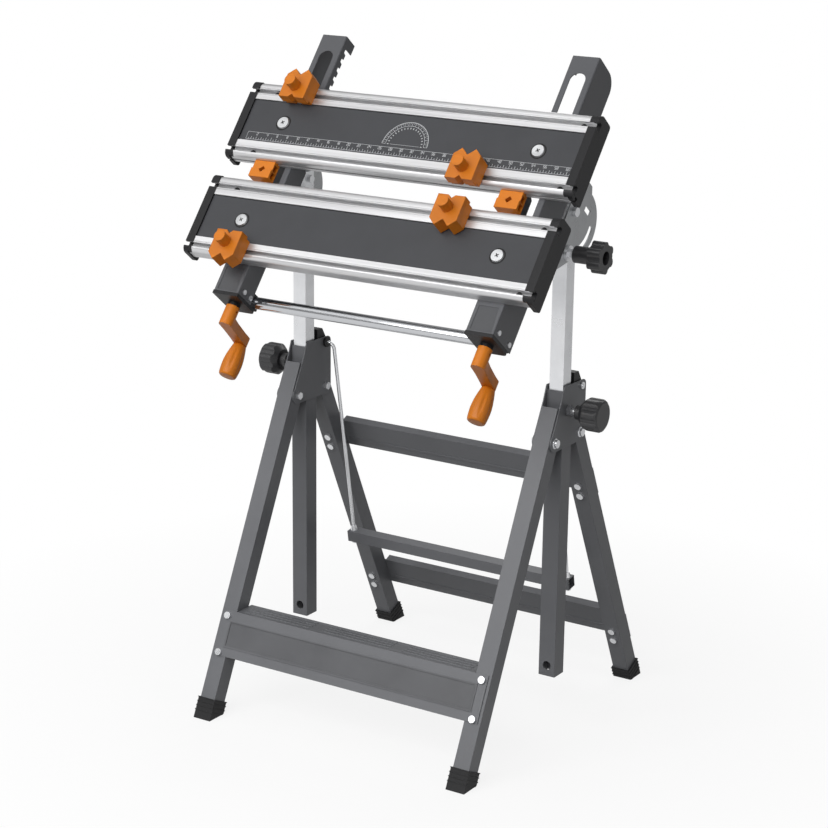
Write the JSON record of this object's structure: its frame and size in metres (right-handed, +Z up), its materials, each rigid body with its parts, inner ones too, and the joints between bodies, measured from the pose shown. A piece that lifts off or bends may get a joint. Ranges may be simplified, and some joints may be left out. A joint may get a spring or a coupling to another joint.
{
  "type": "folding workbench",
  "caption": "Folding workbench with a height-adjustable tilting table, two screw-driven clamping jaws with T-slots, bench dogs, V-blocks and crank handles.",
  "frame": {"origin": "on the floor, midway between the two posts and the front and rear feet", "axes": "+X to the right seen from the cranks, +Y back towards the rear jaw, +Z up"},
  "size_m": [0.6696, 0.6014, 1.108],
  "materials": {
    "powder_coat": "dark grey powder coat, satin",
    "zinc_plate": "zinc-plated, satin",
    "alloy": "natural anodised, satin",
    "panel": "dark grey moulded panel, matt",
    "black_plastic": "black, matt",
    "orange_plastic": "orange, satin",
    "chrome": "bright plated",
    "rubber": "black, matt"
  },
  "bodies": {
    "trestle_heads": {"sleeves": "powder_coat", "head_plates": "powder_coat", "leg_pivot_bolts": "zinc_plate", "knob_nuts": "powder_coat"},
    "front_frame": {"front_legs": "powder_coat", "front_feet": "rubber", "step_panel": "powder_coat", "step_bolts": "zinc_plate"},
    "rear_frame": {"rear_legs": "powder_coat", "rear_feet": "rubber", "upper_crossbar": "powder_coat", "lower_crossbar": "powder_coat", "crossbar_bolts": "zinc_plate"},
    "foot_bar_frame": {"foot_bar_rods": "zinc_plate", "foot_bar": "powder_coat", "foot_bar_fittings": "zinc_plate", "latch_lugs": "black_plastic"},
    "post_pair": {"posts": "zinc_plate", "clamp_lugs": "powder_coat", "tilt_pivot_bolts": "zinc_plate", "tilt_clamp_bolts": "zinc_plate"},
    "height_clamp_left": {"height_knob_left": "black_plastic", "height_screw_left": "zinc_plate"},
    "height_clamp_right": {"height_knob_right": "black_plastic", "height_screw_right": "zinc_plate"},
    "tilt_clamp_left": {"tilt_knob_left": "black_plastic"},
    "tilt_clamp_right": {"tilt_knob_right": "black_plastic"},
    "table": {"rail_left": "powder_coat", "rail_right": "powder_coat", "rail_cap_left": "black_plastic", "rail_cap_right": "black_plastic", "rail_cap_screws": "zinc_plate", "cross_tube": "chrome", "tilt_bracket_left": "zinc_plate", "tilt_bracket_right": "zinc_plate", "bracket_bolts": "zinc_plate", "spindle_bushes": "black_plastic"},
    "crank_unit_left": {"spindle_left": "zinc_plate", "crank_left": "orange_plastic"},
    "crank_unit_right": {"spindle_right": "zinc_plate", "crank_right": "orange_plastic"},
    "grip_unit_left": {"grip_left": "orange_plastic"},
    "grip_unit_right": {"grip_right": "orange_plastic"},
    "front_jaw": {"front_jaw_bars": "alloy", "front_jaw_panel": "panel", "front_jaw_covers": "black_plastic", "front_jaw_screws": "zinc_plate", "spindle_nuts": "zinc_plate"},
    "rear_jaw": {"rear_jaw_bars": "alloy", "rear_jaw_panel": "panel", "rear_jaw_covers": "black_plastic", "rear_jaw_screws": "zinc_plate", "latch_blocks": "zinc_plate"},
    "catch_pair": {"rack_catches": "zinc_plate"},
    "dog_unit_front_left": {"dog_front_left": "orange_plastic"},
    "dog_unit_front_right": {"dog_front_right": "orange_plastic"},
    "dog_unit_rear_left": {"dog_rear_left": "orange_plastic"},
    "dog_unit_rear_right": {"dog_rear_right": "orange_plastic"},
    "vblock_unit_left": {"vblock_left": "orange_plastic"},
    "vblock_unit_right": {"vblock_right": "orange_plastic"}
  },
  "joints": [
    {"name": "front_fold", "type": "hinge", "parent": "trestle_heads", "child": "front_frame", "pos_m": [0, -0.0415, 0.51], "axis": [1, 0, 0], "range_deg": [0, 25.2]},
    {"name": "rear_fold", "type": "hinge", "parent": "trestle_heads", "child": "rear_frame", "pos_m": [0, 0.0415, 0.51], "axis": [-1, 0, 0], "range_deg": [0, 25.2]},
    {"name": "foot_bar_swing", "type": "hinge", "parent": "trestle_heads", "child": "foot_bar_frame", "pos_m": [0, 0.0415, 0.588], "axis": [-1, 0, 0], "range_deg": [0, 11.3]},
    {"name": "height_slide", "type": "slide", "parent": "trestle_heads", "child": "post_pair", "axis": [0, 0, 1], "range_m": [-0.15, 0.06]},
    {"name": "height_knob_turn_left", "type": "hinge", "parent": "trestle_heads", "child": "height_clamp_left", "pos_m": [-0.3, 0, 0.5553], "axis": [-1, 0, 0], "range_deg": [0, 720]},
    {"name": "height_knob_turn_right", "type": "hinge", "parent": "trestle_heads", "child": "height_clamp_right", "pos_m": [0.3, 0, 0.5553], "axis": [1, 0, 0], "range_deg": [0, 720]},
    {"name": "table_tilt", "type": "hinge", "parent": "post_pair", "child": "table", "pos_m": [0, 0, 0.876], "axis": [1, 0, 0], "range_deg": [-73.5, 4]},
    {"name": "tilt_knob_turn_left", "type": "hinge", "parent": "post_pair", "child": "tilt_clamp_left", "pos_m": [-0.3, -0.019, 0.814], "axis": [-1, 0, 0], "range_deg": [0, 720]},
    {"name": "tilt_knob_turn_right", "type": "hinge", "parent": "post_pair", "child": "tilt_clamp_right", "pos_m": [0.3, -0.019, 0.814], "axis": [1, 0, 0], "range_deg": [0, 720]},
    {"name": "front_jaw_slide", "type": "slide", "parent": "table", "child": "front_jaw", "axis": [0, 0.6293, 0.7771], "range_m": [-0.05, 0.0075]},
    {"name": "rear_jaw_slide", "type": "slide", "parent": "table", "child": "rear_jaw", "axis": [0, 0.6293, 0.7771], "range_m": [0, 0.0692]},
    {"name": "catch_lift", "type": "slide", "parent": "rear_jaw", "child": "catch_pair", "axis": [0, -0.7771, 0.6293], "range_m": [0, 0.005]},
    {"name": "crank_turn_left", "type": "hinge", "parent": "table", "child": "crank_unit_left", "pos_m": [-0.228, -0.21398, 0.71806], "axis": [0, 0.6293, 0.7771], "continuous": true},
    {"name": "crank_turn_right", "type": "hinge", "parent": "table", "child": "crank_unit_right", "pos_m": [0.2463, -0.21398, 0.71806], "axis": [0, 0.6293, 0.7771], "continuous": true},
    {"name": "grip_turn_left", "type": "hinge", "parent": "crank_unit_left", "child": "grip_unit_left", "pos_m": [-0.24161, -0.2078, 0.61012], "axis": [0, 0.6293, 0.7771], "continuous": true},
    {"name": "grip_turn_right", "type": "hinge", "parent": "crank_unit_right", "child": "grip_unit_right", "pos_m": [0.23269, -0.2078, 0.61012], "axis": [0, 0.6293, 0.7771], "continuous": true},
    {"name": "dog_slide_front_left", "type": "slide", "parent": "front_jaw", "child": "dog_unit_front_left", "axis": [1, 0, 0], "range_m": [-0.0297, 0.5022]},
    {"name": "dog_slide_front_right", "type": "slide", "parent": "front_jaw", "child": "dog_unit_front_right", "axis": [1, 0, 0], "range_m": [-0.4007, 0.1312]},
    {"name": "dog_slide_rear_left", "type": "slide", "parent": "rear_jaw", "child": "dog_unit_rear_left", "axis": [1, 0, 0], "range_m": [-0.0357, 0.4962]},
    {"name": "dog_slide_rear_right", "type": "slide", "parent": "rear_jaw", "child": "dog_unit_rear_right", "axis": [1, 0, 0], "range_m": [-0.3987, 0.1332]},
    {"name": "vblock_slide_left", "type": "slide", "parent": "rear_jaw", "child": "vblock_unit_left", "axis": [1, 0, 0], "range_m": [-0.05, 0.42]},
    {"name": "vblock_slide_right", "type": "slide", "parent": "rear_jaw", "child": "vblock_unit_right", "axis": [1, 0, 0], "range_m": [-0.42, 0.077]}
  ],
  "couplings": [
    {"joint": "foot_bar_swing", "follows": "rear_fold", "ratio": 0.448},
    {"joint": "crank_turn_left", "follows": "front_jaw_slide", "rad_per_m": 1256.6},
    {"joint": "crank_turn_right", "follows": "front_jaw_slide", "rad_per_m": 1256.6}
  ]
}
